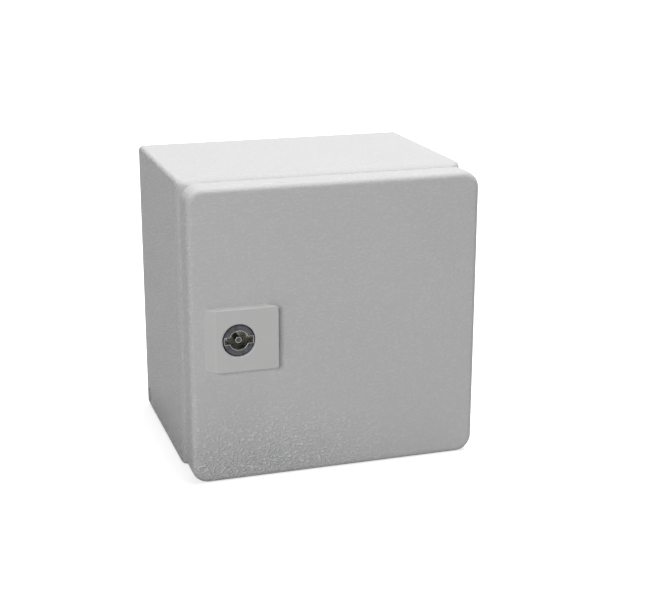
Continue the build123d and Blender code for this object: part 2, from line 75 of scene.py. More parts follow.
# %% [markdown]
# ## Two small helpers
#
# Colours are written as the sRGB hex codes that a paint or plastics chart gives. Blender's
# sockets want linear light, so one function converts them. Shader and geometry trees are both
# built from the same call: it adds a node, sets its options, and fills or links its inputs.

# %% Colours and nodes
def hex_colour(code):
    """Linear RGBA of an sRGB hex code such as #C5C7C4."""
    channels = [int(code[i:i + 2], 16) / 255 for i in (1, 3, 5)]
    linear = [c / 12.92 if c <= 0.04045 else ((c + 0.055) / 1.055) ** 2.4 for c in channels]
    return (*linear, 1.0)


def add_node(tree, kind, inputs=None, **settings):
    """Add a node, set its options, and fill or link its inputs.

    A node given for an input stands for its first output in use, and a list links all it holds.
    """
    node = tree.nodes.new(kind)
    for option, value in settings.items():
        setattr(node, option, value)
    for socket, value in (inputs or {}).items():
        for item in value if isinstance(value, list) else [value]:
            if isinstance(item, bpy.types.Node):
                item = next(output for output in item.outputs if output.enabled)
            if isinstance(item, bpy.types.NodeSocket):
                tree.links.new(item, node.inputs[socket])
            else:
                node.inputs[socket].default_value = item
    return node


# %% [markdown]
# ## The camera
#
# The photograph was taken from the left of the box and from above it. Where the box's own
# corners fall in the picture gives the camera's place, its three angles and its focal length.
# The picture is 657 pixels wide, which fixes the lens once the focal length is known in pixels.

# %% Camera
PICTURE_WIDTH_PX = 657
FOCAL_LENGTH_PX = 1386.8
SENSOR_WIDTH_MM = 36.0
CAMERA_AT = Vector((-0.20476, -0.74449, 0.21204))
CAMERA_LEFT_DEG = 17.777
CAMERA_ABOVE_DEG = 16.759
CAMERA_ROLL_DEG = 0.082
NEAREST_SEEN = 0.01


def camera_turn(left_deg, above_deg, roll_deg):
    """Rotation of a camera that looks along +Y from the left and from above."""
    left = math.radians(left_deg)
    above = math.radians(above_deg)
    forward = Vector((
        math.sin(left) * math.cos(above),
        math.cos(left) * math.cos(above),
        -math.sin(above),
    ))
    level = forward.to_track_quat("-Z", "Y").to_matrix()
    return level @ Matrix.Rotation(math.radians(roll_deg), 3, "Z")


camera_data = bpy.data.cameras.new("photo_camera")
camera_data.sensor_width = SENSOR_WIDTH_MM
camera_data.lens = SENSOR_WIDTH_MM * FOCAL_LENGTH_PX / PICTURE_WIDTH_PX
camera_data.clip_start = NEAREST_SEEN
camera = bpy.data.objects.new("photo_camera", camera_data)
camera.matrix_world = (
    Matrix.Translation(CAMERA_AT)
    @ camera_turn(CAMERA_LEFT_DEG, CAMERA_ABOVE_DEG, CAMERA_ROLL_DEG).to_4x4()
)
bpy.context.scene.collection.objects.link(camera)
bpy.context.scene.camera = camera
print("lens in mm:", round(camera_data.lens, 2))

# %% [markdown]
# ## A white floor that keeps the shadow
#
# The background of the photograph is pure white. More light would bleach the box as well, so
# the floor itself is lit up for the camera: it adds a weak glow to a pale diffuse surface, and
# the box's soft shadow still shows in it. Farther out, where little lamp light arrives, the glow
# grows until the floor is as white as the room. Light that bounces off the floor onto the box
# sees a plain grey one, because a glowing floor would brighten the walls from below.

# %% Floor
FLOOR_SIZE = 6.0
GLOW_NEAR = 0.3
GLOW_FAR = 1.2
GLOW_AT_BOX = 0.62
floor_z = cad_low.z


def background_share(tree):
    """1 for rays from the camera, a mirror or glass, and 0 for bounced light."""
    path = add_node(tree, "ShaderNodeLightPath")
    seen = add_node(tree, "ShaderNodeMath", operation="MAXIMUM", inputs={
        0: path.outputs["Is Camera Ray"], 1: path.outputs["Is Glossy Ray"],
    })
    return add_node(tree, "ShaderNodeMath", operation="MAXIMUM", inputs={
        0: seen, 1: path.outputs["Is Transmission Ray"],
    })


def floor_material():
    """Pale for the eye and for mirrors, grey for bounced light."""
    material = bpy.data.materials.new("studio_floor")
    material.use_nodes = True
    tree = material.node_tree
    tree.nodes.clear()
    pale = add_node(tree, "ShaderNodeBsdfDiffuse", {"Color": hex_colour("#F2F2F2")})
    place = add_node(tree, "ShaderNodeTexCoord")
    away = add_node(tree, "ShaderNodeVectorMath", {0: place.outputs["Object"]}, operation="LENGTH")
    strength = add_node(tree, "ShaderNodeMapRange", {
        "Value": away,
        "From Min": GLOW_NEAR, "From Max": GLOW_FAR,
        "To Min": GLOW_AT_BOX, "To Max": 1.0,
    })
    glow = add_node(tree, "ShaderNodeEmission", {
        "Color": hex_colour("#FFFFFF"), "Strength": strength,
    })
    lit = add_node(tree, "ShaderNodeAddShader", {0: pale, 1: glow})
    grey = add_node(tree, "ShaderNodeBsdfDiffuse", {"Color": hex_colour("#A8A8A8")})
    mix = add_node(tree, "ShaderNodeMixShader", {0: background_share(tree), 1: grey, 2: lit})
    add_node(tree, "ShaderNodeOutputMaterial", {"Surface": mix})
    return material


def make_floor():
    """Flat square under the box."""
    half = FLOOR_SIZE / 2
    signs = ((-1, -1), (1, -1), (1, 1), (-1, 1))
    corners = [(half * x, half * y, floor_z) for x, y in signs]
    mesh = bpy.data.meshes.new("studio_floor")
    mesh.from_pydata(corners, [], [(0, 1, 2, 3)])
    mesh.materials.append(floor_material())
    floor = bpy.data.objects.new("studio_floor", mesh)
    bpy.context.scene.collection.objects.link(floor)
    return floor


make_floor()
print("floor at:", round(floor_z, 4))

# %% [markdown]
# ## Light
#
# In the photograph the top of the box is by far its lightest side, and the front is a little
# lighter than the left side. One large soft lamp hangs high over the box and to the right of it,
# so that the left wall gets none of it. A second one stands in front, to the left, and lights
# the door and the rolled edge beside it. A dim room fills the shadows. The lamps stand at a level
# at which a grey renders about as grey as its hex code says.

# %% Lamps and world
ROOM_STRENGTH = 0.12
BOX_MIDDLE = Vector((0.0, -0.06, 0.0))


def soft_lamp(name, at, size, watts):
    """Square area lamp that faces the middle of the box."""
    data = bpy.data.lights.new(name, "AREA")
    data.shape = "SQUARE"
    data.size = size
    data.energy = watts
    lamp = bpy.data.objects.new(name, data)
    turn = (BOX_MIDDLE - Vector(at)).to_track_quat("-Z", "Y").to_matrix().to_4x4()
    lamp.matrix_world = Matrix.Translation(at) @ turn
    bpy.context.scene.collection.objects.link(lamp)
    print(name, watts, "watts")


def make_world():
    """White to look at, and a plain soft light otherwise."""
    world = bpy.data.worlds.new("white_room")
    world.use_nodes = True
    tree = world.node_tree
    tree.nodes.clear()
    room, white = (
        add_node(tree, "ShaderNodeBackground", {
            "Color": hex_colour("#FFFFFF"), "Strength": strength,
        })
        for strength in (ROOM_STRENGTH, 1.0)
    )
    mix = add_node(tree, "ShaderNodeMixShader", {0: background_share(tree), 1: room, 2: white})
    add_node(tree, "ShaderNodeOutputWorld", {"Surface": mix})
    bpy.context.scene.world = world


make_world()
soft_lamp("overhead_lamp", at=(0.5, 0.14, 2.2), size=1.2, watts=60.0)
soft_lamp("left_lamp", at=(-1.0, -1.75, 0.7), size=0.8, watts=19.5)
bpy.context.scene.view_settings.view_transform = "Standard"

# %% [markdown]
# ## Mesh helpers
#
# Folded sheet, a moulded cover and a turned insert are all stacks of rings: a rounded rectangle
# or a circle whose size changes along the depth of the box. Two ring functions and one that
# skins a stack of them make clean quads with the same count of points all the way, and that
# gives even highlights along every edge.

# %% Rings and skins
CORNER_STEPS = 10
CIRCLE_STEPS = 96


def rounded_ring(half_w, half_h, radius, forward, centre_x=0.0):
    """Points of a rounded rectangle that faces forward, counter-clockwise from the right."""
    points = []
    for quarter in range(4):
        side_x = 1 if quarter in (0, 3) else -1
        side_z = 1 if quarter in (0, 1) else -1
        for step in range(CORNER_STEPS + 1):
            angle = math.radians(90 * (quarter + step / CORNER_STEPS))
            x = centre_x + side_x * (half_w - radius) + radius * math.cos(angle)
            z = side_z * (half_h - radius) + radius * math.sin(angle)
            points.append((x, -forward, z))
    return points


def round_ring(radius, forward, centre_x=0.0, steps=CIRCLE_STEPS):
    """Points of a circle that faces forward."""
    turns = [2 * math.pi * step / steps for step in range(steps)]
    return [(centre_x + radius * math.cos(t), -forward, radius * math.sin(t)) for t in turns]


def skin(name, rings, closed=False):
    """Mesh through a stack of rings, its ends capped, or joined when it is closed."""
    work = bmesh.new()
    loops = [[work.verts.new(point) for point in ring] for ring in rings]
    pairs = list(zip(loops, loops[1:]))
    if closed:
        pairs.append((loops[-1], loops[0]))
    count = len(rings[0])
    for lower, upper in pairs:
        for i in range(count):
            j = (i + 1) % count
            work.faces.new((lower[i], lower[j], upper[j], upper[i]))
    if not closed:
        work.faces.new(list(reversed(loops[0])))
        work.faces.new(loops[-1])
    bmesh.ops.recalc_face_normals(work, faces=work.faces)
    mesh = bpy.data.meshes.new(name)
    work.to_mesh(mesh)
    work.free()
    piece = bpy.data.objects.new(name, mesh)
    bpy.context.scene.collection.objects.link(piece)
    return piece


def apply_modifiers(piece):
    """Turn what the modifiers give into the piece's own mesh."""
    graph = bpy.context.evaluated_depsgraph_get()
    graph.update()
    mesh = bpy.data.meshes.new_from_object(piece.evaluated_get(graph))
    mesh.name = piece.name
    piece.modifiers.clear()
    piece.data = mesh


def combine(piece, other, operation):
    """Cut another object out of the piece, or join it on, and delete the other."""
    change = piece.modifiers.new("combine", "BOOLEAN")
    change.operation = operation
    change.solver = "EXACT"
    change.object = other
    apply_modifiers(piece)
    bpy.data.objects.remove(other)
    return piece


def smooth_by_angle(piece, degrees=35.0):
    """Smooth shading, with edges that bend more than the angle kept sharp."""
    for face in piece.data.polygons:
        face.use_smooth = True
    piece.data.set_sharp_from_angle(angle=math.radians(degrees))
    weigh = piece.modifiers.new("even_shading", "WEIGHTED_NORMAL")
    weigh.keep_sharp = True
    apply_modifiers(piece)


def arc(start_deg, end_deg, steps):
    """Cosine and sine of evenly spaced angles, both ends included."""
    for step in range(steps + 1):
        angle = math.radians(start_deg + (end_deg - start_deg) * step / steps)
        yield math.cos(angle), math.sin(angle)


def finish_piece(piece, material, body, slot, *replaced):
    """Give a piece its material and its body, and hide the nodes it stands for; slot is not used.
    """
    piece.data.materials.clear()
    piece.data.materials.append(material)
    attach(piece, body)
    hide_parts(*replaced)
    print(piece.name, len(piece.data.polygons), "faces")


# %% [markdown]
# ## Materials: how every shader starts and ends
#
# Each material is one Principled shader fed by Object coordinates. All the pieces have their
# own place in their mesh, so one set of coordinates runs through the whole object, and a
# pattern's scale is simply one divided by a real length. Most surfaces have one fine grain that
# changes both the gloss and the relief, so one function ends all of those. Noise keeps to the
# middle of its range, and is stretched before it is used.

# %% Starting and ending a material
MM = 0.001
NOISE_LOW = 0.3
NOISE_HIGH = 0.7
CLOUD_LOW = 0.35
CLOUD_HIGH = 0.65
MIX_SHARE, MIX_FROM, MIX_TO = 0, 6, 7  # a Mix node's colour inputs share their names


def start_material(name):
    """Empty material, its tree and its object coordinates."""
    material = bpy.data.materials.new(name)
    material.use_nodes = True
    tree = material.node_tree
    tree.nodes.clear()
    return material, tree, add_node(tree, "ShaderNodeTexCoord").outputs["Object"]


def end_material(material, colour, gloss, normal, fixed):
    """Principled shader from three patterns and some fixed values."""
    surface = {"Base Color": colour, "Roughness": gloss, "Normal": normal, **fixed}
    shader = add_node(material.node_tree, "ShaderNodeBsdfPrincipled", surface)
    add_node(material.node_tree, "ShaderNodeOutputMaterial", {"Surface": shader})
    print(material.name, len(material.node_tree.nodes), "nodes")
    return material


def end_grained(material, share, tones, grain, gloss, height, relief=None, **fixed):
    """Two mixed tones, and a grain that sets the gloss and, unless told otherwise, the relief."""
    tree = material.node_tree
    colour = add_node(tree, "ShaderNodeMix", {
        MIX_SHARE: share, MIX_FROM: tones[0], MIX_TO: tones[1],
    }, data_type="RGBA")
    sheen = add_node(tree, "ShaderNodeMapRange", {
        "Value": grain,
        "From Min": NOISE_LOW, "From Max": NOISE_HIGH,
        "To Min": gloss[0], "To Max": gloss[1],
    })
    bumps = add_node(tree, "ShaderNodeBump", {"Height": relief or grain, "Distance": height})
    return end_material(material, colour, sheen, bumps, fixed)


def clouds(tree, place, size, detail):
    """Soft patches of this size, from 0 to 1."""
    noise = add_node(tree, "ShaderNodeTexNoise", {
        "Vector": place, "Scale": 1 / size, "Detail": detail,
    })
    return add_node(tree, "ShaderNodeMapRange", {
        "Value": noise,
        "From Min": CLOUD_LOW, "From Max": CLOUD_HIGH,
    })


# %% [markdown]
# ## Where the flecks stand out, with a painted highlight
#
# The steel is sprayed with a dry polyester powder and baked. One number sets at each point
# how strong the coat's flecks and grain are, and how much lighter the fleck tops are painted,
# which is a painted highlight. It is largest along the bottom left of the door, and steady on
# the left wall.

# %% Coat thickness
THIN_COAT_SHEEN = 0.2
WALL_COAT_SHEEN = 0.65
WALL_X = -74.5 * MM
PAST_WALL_X = -72 * MM
SHEEN_GATHER_LEFT = 50 * MM
SHEEN_GATHER_DOWN = 78 * MM
SHEEN_GATHER_STRETCH = 0.5
SHEEN_GATHER_FULL = 14 * MM
SHEEN_GATHER_END = 46 * MM


def coat_relief_and_sheen(tree, place):
    """1 at the bottom left of the door and a steady value on the left wall, for relief and painted
    highlight.
    """
    corner = add_node(tree, "ShaderNodeMapping", {
        "Vector": place, "Location": (SHEEN_GATHER_LEFT * SHEEN_GATHER_STRETCH, 0.0, SHEEN_GATHER_DOWN),
        "Scale": (SHEEN_GATHER_STRETCH, 0.0, 1.0),
    })
    near = add_node(tree, "ShaderNodeMapRange", {
        "Value": add_node(tree, "ShaderNodeVectorMath", {0: corner}, operation="LENGTH"),
        "From Min": SHEEN_GATHER_FULL, "From Max": SHEEN_GATHER_END,
        "To Min": 1.0, "To Max": THIN_COAT_SHEEN,
    })
    left = add_node(tree, "ShaderNodeMapRange", {
        "Value": add_node(tree, "ShaderNodeSeparateXYZ", {0: place}).outputs["X"],
        "From Min": WALL_X, "From Max": PAST_WALL_X,
        "To Min": WALL_COAT_SHEEN, "To Max": THIN_COAT_SHEEN,
    })
    return add_node(tree, "ShaderNodeMath", {0: near, 1: left}, operation="MAXIMUM")


# %% [markdown]
# ## Textured powder coat
#
# The melted powder shrinks into a skin with low flecks about 1 mm apart and finer grain between
# them, satin rather than glossy, in the light grey of most electrical boxes. The flecks are far
# too low to model, so noise drives the bump, and their tops are painted a little lighter than the
# skin between them, which is a painted highlight on the relief.

# %% Powder coat
FLECK_SPACING = 1.05 * MM
FLECK_STRETCH = 0.65
FLECK_START = 0.46
FLECK_FULL = 0.68
FLECK_HEIGHT = 0.45 * MM
GRAIN_SPACING = 0.5 * MM
GRAIN_HEIGHT = 0.4 * MM
SHADE_SIZE = 45 * MM


def textured_powder_coat():
    """Flecks and grain, and a painted highlight on the fleck tops, each as strong as the mask says
    there.
    """
    material, tree, place = start_material("textured_powder_coat")
    relief_and_sheen = coat_relief_and_sheen(tree, place)
    wide = add_node(tree, "ShaderNodeMapping", {
        "Vector": place, "Scale": (FLECK_STRETCH, 1.0, 1.0),
    })
    lumps = add_node(tree, "ShaderNodeTexNoise", {
        "Vector": wide, "Scale": 1 / FLECK_SPACING, "Detail": 1.0, "Roughness": 0.4,
    })
    flecks = add_node(tree, "ShaderNodeMapRange", {
        "Value": lumps,
        "From Min": FLECK_START, "From Max": FLECK_FULL,
    }, interpolation_type="SMOOTHSTEP")
    grain = add_node(tree, "ShaderNodeTexNoise", {
        "Vector": place, "Scale": 1 / GRAIN_SPACING, "Detail": 1.0, "Roughness": 0.5,
    })
    shade = add_node(tree, "ShaderNodeTexNoise", {
        "Vector": place, "Scale": 1 / SHADE_SIZE, "Detail": 2.0,
    })
    skin_colour = add_node(tree, "ShaderNodeMix", {
        MIX_SHARE: shade, MIX_FROM: hex_colour("#C4C4C5"), MIX_TO: hex_colour("#C8C8C8"),
    }, data_type="RGBA")
    # painted highlight: the fleck tops are painted lighter, most where the mask is strongest
    colour = add_node(tree, "ShaderNodeMix", {
        MIX_SHARE: add_node(tree, "ShaderNodeMath", {0: flecks, 1: relief_and_sheen}, operation="MULTIPLY"),
        MIX_FROM: skin_colour, MIX_TO: hex_colour("#DEDEDE"),
    }, data_type="RGBA")
    gloss = add_node(tree, "ShaderNodeMapRange", {
        "Value": grain,
        "From Min": NOISE_LOW, "From Max": NOISE_HIGH,
        "To Min": 0.5, "To Max": 0.58,
    })
    coarse = add_node(tree, "ShaderNodeBump", {
        "Height": flecks, "Strength": relief_and_sheen, "Distance": FLECK_HEIGHT,
    })
    fine = add_node(tree, "ShaderNodeBump", {
        "Height": grain, "Strength": relief_and_sheen, "Distance": GRAIN_HEIGHT, "Normal": coarse,
    })
    return end_material(material, colour, gloss, fine, {"IOR": 1.16})


coat = textured_powder_coat()

# %% [markdown]
# ## Zinc-plated sheet and fasteners
#
# The mounting plate and the small steel parts are zinc plated and passivated. That leaves a
# cool grey metal with a faint blue and straw-coloured sheen, and the sheet keeps the rolling
# direction of the mill as long fine streaks. Streaks of a tenth of a millimetre would vanish
# in the picture, so they are drawn a few times wider.

# %% Zinc plate
def grained(
    name, tones, size, gloss, height,
    detail=3.0, harsh=0.5, stretch=(1.0, 1.0, 1.0), patches=None, **fixed
):
    """Two tones and one grain of this size, drawn out or under soft patches if wanted."""
    material, tree, place = start_material(name)
    grain = add_node(tree, "ShaderNodeTexNoise", {
        "Vector": add_node(tree, "ShaderNodeMapping", {"Vector": place, "Scale": stretch}),
        "Scale": 1 / size, "Detail": detail, "Roughness": harsh,
    })
    share = clouds(tree, place, *patches) if patches else grain
    return end_grained(material, share, tones, grain, gloss, height, **fixed)


zinc_look = {
    "tones": (hex_colour("#B4B8BD"), hex_colour("#BDBBB4")),
    "height": 0.008 * MM,
    "detail": 4.0,
    "harsh": 0.6,
    "patches": (20 * MM, 3.0),
    "Metallic": 1.0,
}
zinc_sheet = grained(
    "zinc_plated_sheet", size=0.35 * MM, gloss=(0.28, 0.42), stretch=(1.0, 1.0, 0.03), **zinc_look
)
zinc_steel = grained("zinc_plated_steel", size=0.5 * MM, gloss=(0.22, 0.36), **zinc_look)

# %% [markdown]
# ## Drawn steel and die-cast zinc
#
# Hinge pins are bright drawn steel, with the die's fine lines along them. The lock's housing is
# cast zinc, left as it comes from the die: dull, with a soft frost and faint flow marks.

# %% Pin and housing metals
pin_steel = grained(
    "drawn_steel",
    tones=(hex_colour("#B4B3B0"), hex_colour("#C9C8C5")),
    size=0.3 * MM,
    gloss=(0.18, 0.3),
    height=0.005 * MM,
    stretch=(1.0, 1.0, 0.02),
    Metallic=1.0,
)
cast_zinc = grained(
    "die_cast_zinc",
    tones=(hex_colour("#9A9C9E"), hex_colour("#ABADAE")),
    size=0.6 * MM,
    gloss=(0.42, 0.58),
    height=0.015 * MM,
    detail=5.0,
    harsh=0.65,
    patches=(6 * MM, 2.0),
    Metallic=1.0,
)

# %% [markdown]
# ## Dark chrome, worn in the socket
#
# The insert is cast zinc with a dark chrome finish, almost black where it faces the room.
# Inside the socket the cast metal stays duller and browner, so the colour changes with the
# depth below the insert's front face. The key has also rubbed the finish off the edges of the
# mouth and of the pin's tip, down to bright zinc, and that near-white zinc is also a painted
# highlight along those edges.

# %% Insert metal
SOCKET_CLEAN = 1.2 * MM
SOCKET_WORN = 1.8 * MM

insert_low, insert_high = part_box("lock_insert")
insert_front = -insert_low.y
insert_rear = -insert_high.y


def dark_chromed_zinc():
    """Near black at the front, brown and dull in the socket."""
    material, tree, place = start_material("dark_chromed_zinc")
    polish = add_node(tree, "ShaderNodeTexNoise", {
        "Vector": place, "Scale": 1 / (0.5 * MM), "Detail": 3.0,
    })
    share = clouds(tree, place, 2.5 * MM, 4.0)
    face, inside = (
        add_node(tree, "ShaderNodeMix", {
            MIX_SHARE: share, MIX_FROM: hex_colour(dark), MIX_TO: hex_colour(light),
        }, data_type="RGBA")
        for dark, light in (("#36373A", "#46484B"), ("#67655F", "#8A8882"))
    )
    below = add_node(tree, "ShaderNodeMapRange", {
        "Value": add_node(tree, "ShaderNodeSeparateXYZ", {0: place}).outputs["Y"],
        "From Min": SOCKET_CLEAN - insert_front, "From Max": SOCKET_WORN - insert_front,
    })
    tones = (face, inside)
    return end_grained(material, below, tones, polish, (0.22, 0.36), 0.015 * MM, Metallic=1.0)


dark_chrome = dark_chromed_zinc()
# rubbed zinc for the mouth's bevels, painted near white as a painted highlight too
rubbed_edge_and_highlight = grained(
    "rubbed_zinc_and_highlight",
    tones=(hex_colour("#7E7D7A"), hex_colour("#E6E5E2")),
    size=0.4 * MM,
    gloss=(0.2, 0.4),
    height=0.01 * MM,
    Metallic=1.0,
)

# %% [markdown]
# ## Moulded plastic, foam and rubber
#
# The cover is moulded polyamide from a lightly spark-eroded tool, which gives it a fine matt
# grain. The door seal is polyurethane foamed in place: a soft dark bead with a thin skin and
# small pores, whose pits are painted darker as painted shade. The lock's own seal is plain rubber
# with a dusty bloom.

# %% Plastic and seals
def moulded_plastic():
    """Pale plastic with the grain of a spark-eroded tool."""
    material, tree, place = start_material("moulded_polyamide")
    spark = add_node(tree, "ShaderNodeTexNoise", {
        "Vector": place, "Scale": 1 / (0.35 * MM), "Detail": 3.0, "Roughness": 0.6,
    })
    flow = add_node(tree, "ShaderNodeTexNoise", {
        "Vector": place, "Scale": 1 / (12 * MM), "Detail": 2.0,
    })
    tones = (hex_colour("#C2C2C2"), hex_colour("#C7C7C6"))
    return end_grained(material, flow, tones, spark, (0.48, 0.58), 0.03 * MM, IOR=1.4)


def foamed_polyurethane():
    """Dark skin with pores that the relief and a painted shade follow, and lumps that the gloss
    follows.
    """
    material, tree, place = start_material("foamed_polyurethane")
    pores = add_node(tree, "ShaderNodeTexVoronoi", {"Vector": place, "Scale": 1 / (0.7 * MM)})
    depth = add_node(tree, "ShaderNodeMapRange", {"Value": pores, "From Max": 0.55})
    lumps = add_node(tree, "ShaderNodeTexNoise", {
        "Vector": place, "Scale": 1 / (3 * MM), "Detail": 3.0,
    })
    # painted shade: the pits of the pores take the darker tone
    tones = (hex_colour("#2E2E2F"), hex_colour("#454546"))
    return end_grained(
        material, depth, tones, lumps, (0.75, 0.9), 0.06 * MM, relief=depth, IOR=1.45
    )


cover_plastic = moulded_plastic()
seal_foam = foamed_polyurethane()
seal_rubber = grained(
    "black_rubber",
    tones=(hex_colour("#1E1E1F"), hex_colour("#303031")),
    size=1.6 * MM,
    gloss=(0.6, 0.8),
    height=0.01 * MM,
    detail=4.0,
    harsh=0.65,
    IOR=1.5,
)

# %% [markdown]
# ## The door
#
# The door is a shallow pan: a square of sheet with a flange turned back all round, soft corners
# and a rounded front edge. It is skinned from rings, starting in the middle of the front face,
# out over the rounded edge, back along the flange, round its raw edge and home on the inside.
# The long edge highlight in the picture needs a true arc there, so it gets ten steps.

# %% Coated door
SHEET = 1.25 * MM
DOOR_CORNER_R = 8.5 * MM
DOOR_EDGE_R = 3.0 * MM
RAW_EDGE_R = 0.25 * MM
SUPPORT = 0.5 * MM
LOCK_HOLE_D = 16.4 * MM
LOCK_SCREW_HOLE_D = 3.4 * MM
LOCK_SCREW_HEAD_R = 2.7 * MM
CUT_PAST = 2.0 * MM
EDGE_STEPS = 10
RAW_EDGE_STEPS = 3

door_low, door_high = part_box("door_panel")
lock_low, lock_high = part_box("lock_housing")
screws_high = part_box("lock_screws")[1]
lock_x = (lock_low.x + lock_high.x) / 2
door_half = (door_high.x - door_low.x) / 2
door_front = -door_low.y
door_rear = -door_high.y


def door_rings():
    """Rings of the pan, from the middle of the outside to the middle of the inside."""
    bend_forward = door_front - DOOR_EDGE_R
    section = [(DOOR_EDGE_R + SUPPORT, door_front)]
    for across, along in arc(90, 0, EDGE_STEPS):
        section.append((DOOR_EDGE_R - DOOR_EDGE_R * across, bend_forward + DOOR_EDGE_R * along))
    for across, along in arc(0, 90, RAW_EDGE_STEPS):
        section.append((RAW_EDGE_R * (1 - across), door_rear + RAW_EDGE_R * (1 - along)))
    for across, along in arc(90, 0, RAW_EDGE_STEPS):
        section.append((SHEET - RAW_EDGE_R * (1 - across), door_rear + RAW_EDGE_R * (1 - along)))
    inner_r = DOOR_EDGE_R - SHEET
    for across, along in arc(0, 90, EDGE_STEPS):
        section.append((DOOR_EDGE_R - inner_r * across, bend_forward + inner_r * along))
    section.append((DOOR_EDGE_R + SUPPORT, door_front - SHEET))
    return [
        rounded_ring(door_half - inset, door_half - inset, DOOR_CORNER_R - inset, forward)
        for inset, forward in section
    ]


def lock_holes():
    """Cutters for the lock's hole and its two screws, through the front sheet."""
    forwards = (door_front - SHEET - CUT_PAST, door_front + CUT_PAST)
    yield skin("lock_hole", [round_ring(LOCK_HOLE_D / 2, f, lock_x) for f in forwards])
    screw_z = screws_high.z - LOCK_SCREW_HEAD_R
    for up in (-screw_z, screw_z):
        rings = [round_ring(LOCK_SCREW_HOLE_D / 2, f, lock_x, steps=32) for f in forwards]
        hole = skin("screw_hole", rings)
        hole.data.transform(Matrix.Translation((0, 0, up)))
        yield hole


coated_door = skin("coated_door", door_rings())
for cutter in lock_holes():
    combine(coated_door, cutter, "DIFFERENCE")
smooth_by_angle(coated_door)
finish_piece(coated_door, coat, "door", "powder_coat", "door_panel")

# %% [markdown]
# ## The body
#
# One strip of sheet is folded into the four walls, and its front edge is rolled inwards and
# turned forward again, which makes a rain channel and a rim for the seal to press on. The
# section is swept round the box as rings again. The corners of the four walls are nearly
# sharp, and they grow rounder as the edge rolls in, as bent and ground corners do.

# %% Coated shell
ROLL_R = 8.0 * MM
WALL_CORNER_R = 2.5 * MM
RIM_CORNER_R = 6.0 * MM
RIM_BEND_R = 1.0 * MM
SHOULDER_FLAT = 1.5 * MM
SHOULDER_BACK = 21.2 * MM
SIDE_HOLE_R = 4.0 * MM
SIDE_HOLE_FORWARD = 6.0 * MM
SIDE_HOLE_UP = 7.7 * MM
SIDE_HOLE_REACH = 3.0 * MM
ROLL_STEPS = 12
BEND_STEPS = 5

shell_low, shell_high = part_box("body_shell")
shell_half = (shell_high.x - shell_low.x) / 2
rim_front = -shell_low.y
roll_start = door_front - SHOULDER_BACK - ROLL_R
rim_half = shell_half - ROLL_R - SHOULDER_FLAT


def shell_section():
    """Half width, forward distance and corner radius of each ring, outside first."""
    roll_half = shell_half - ROLL_R
    grown_r = RIM_CORNER_R + SHOULDER_FLAT
    bend_half = rim_half + RIM_BEND_R
    bend_forward = roll_start + ROLL_R + RIM_BEND_R
    inner_roll = ROLL_R - SHEET
    inner_bend = RIM_BEND_R + SHEET
    rows = [
        (shell_half - RAW_EDGE_R, 0.0, WALL_CORNER_R),
        (shell_half, RAW_EDGE_R, WALL_CORNER_R),
    ]
    for across, along in arc(0, 90, ROLL_STEPS):
        rows.append((
            roll_half + ROLL_R * across,
            roll_start + ROLL_R * along,
            WALL_CORNER_R + (grown_r - WALL_CORNER_R) * (1 - across),
        ))
    for across, along in arc(90, 0, BEND_STEPS):
        rows.append((
            bend_half - RIM_BEND_R * across,
            bend_forward - RIM_BEND_R * along,
            RIM_CORNER_R + RIM_BEND_R * (1 - across),
        ))
    for inset, forward in (
        (0.0, rim_front - RAW_EDGE_R),
        (RAW_EDGE_R, rim_front),
        (SHEET - RAW_EDGE_R, rim_front),
        (SHEET, rim_front - RAW_EDGE_R),
    ):
        rows.append((rim_half - inset, forward, RIM_CORNER_R - inset))
    for across, along in arc(0, 90, BEND_STEPS + 1):
        rows.append((
            bend_half - inner_bend * across,
            bend_forward - inner_bend * along,
            RIM_CORNER_R - SHEET + inner_bend * (1 - across),
        ))
    for across, along in arc(90, 0, EDGE_STEPS):
        rows.append((
            roll_half + inner_roll * across,
            roll_start + inner_roll * along,
            WALL_CORNER_R - SHEET + (grown_r - WALL_CORNER_R + SHEET) * (1 - across),
        ))
    rows.append((shell_half - SHEET, 0.0, WALL_CORNER_R - SHEET))
    return rows


def side_hole():
    """Cutter for the plain hole in the left wall."""
    ends = (-SIDE_HOLE_REACH, SIDE_HOLE_REACH)
    hole = skin("side_hole", [round_ring(SIDE_HOLE_R, f, steps=48) for f in ends])
    turn = Matrix.Rotation(math.radians(90), 4, "Z")
    at = Matrix.Translation((-shell_half, -SIDE_HOLE_FORWARD, shell_low.z + SIDE_HOLE_UP))
    hole.data.transform(at @ turn)
    return hole


coated_shell = skin(
    "coated_shell",
    [rounded_ring(half, half, radius, forward) for half, forward, radius in shell_section()],
    closed=True,
)
combine(coated_shell, side_hole(), "DIFFERENCE")
smooth_by_angle(coated_shell)
finish_piece(coated_shell, coat, "box", "powder_coat", "body_shell")

# %% [markdown]
# ## The lock cover
#
# A square moulding hides the lock's screws. Its front is shifted to the right of its base, so
# that its right edge overhangs and a finger can pull the door open by it. The rings keep their
# size and slide to the right as they come forward. The hole has a small slanted lip, which
# catches the light beside the dark insert.

# %% Cover moulding
COVER_SIZE = 32.0 * MM
COVER_LEAN = 4.2 * MM
COVER_EDGE_R = 0.5 * MM
COVER_EDGE_STEPS = 6
COVER_CORNER_R = 1.2 * MM
COVER_CORNER_TAPER = 0.6
COVER_LIP = 0.6 * MM
COVER_LIP_SOFT = 0.15

cover_low, cover_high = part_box("lock_cover")
cover_base = -cover_high.y
cover_front = -cover_low.y
cover_thick = cover_front - cover_base


def cover_ring(inset, forward):
    """One ring of the slab, slid to the right by its share of the lean."""
    slide = COVER_LEAN * (forward - cover_base) / cover_thick
    half = COVER_SIZE / 2 - inset
    radius = COVER_CORNER_R - inset * COVER_CORNER_TAPER
    return rounded_ring(half, half, radius, forward, lock_x + slide)


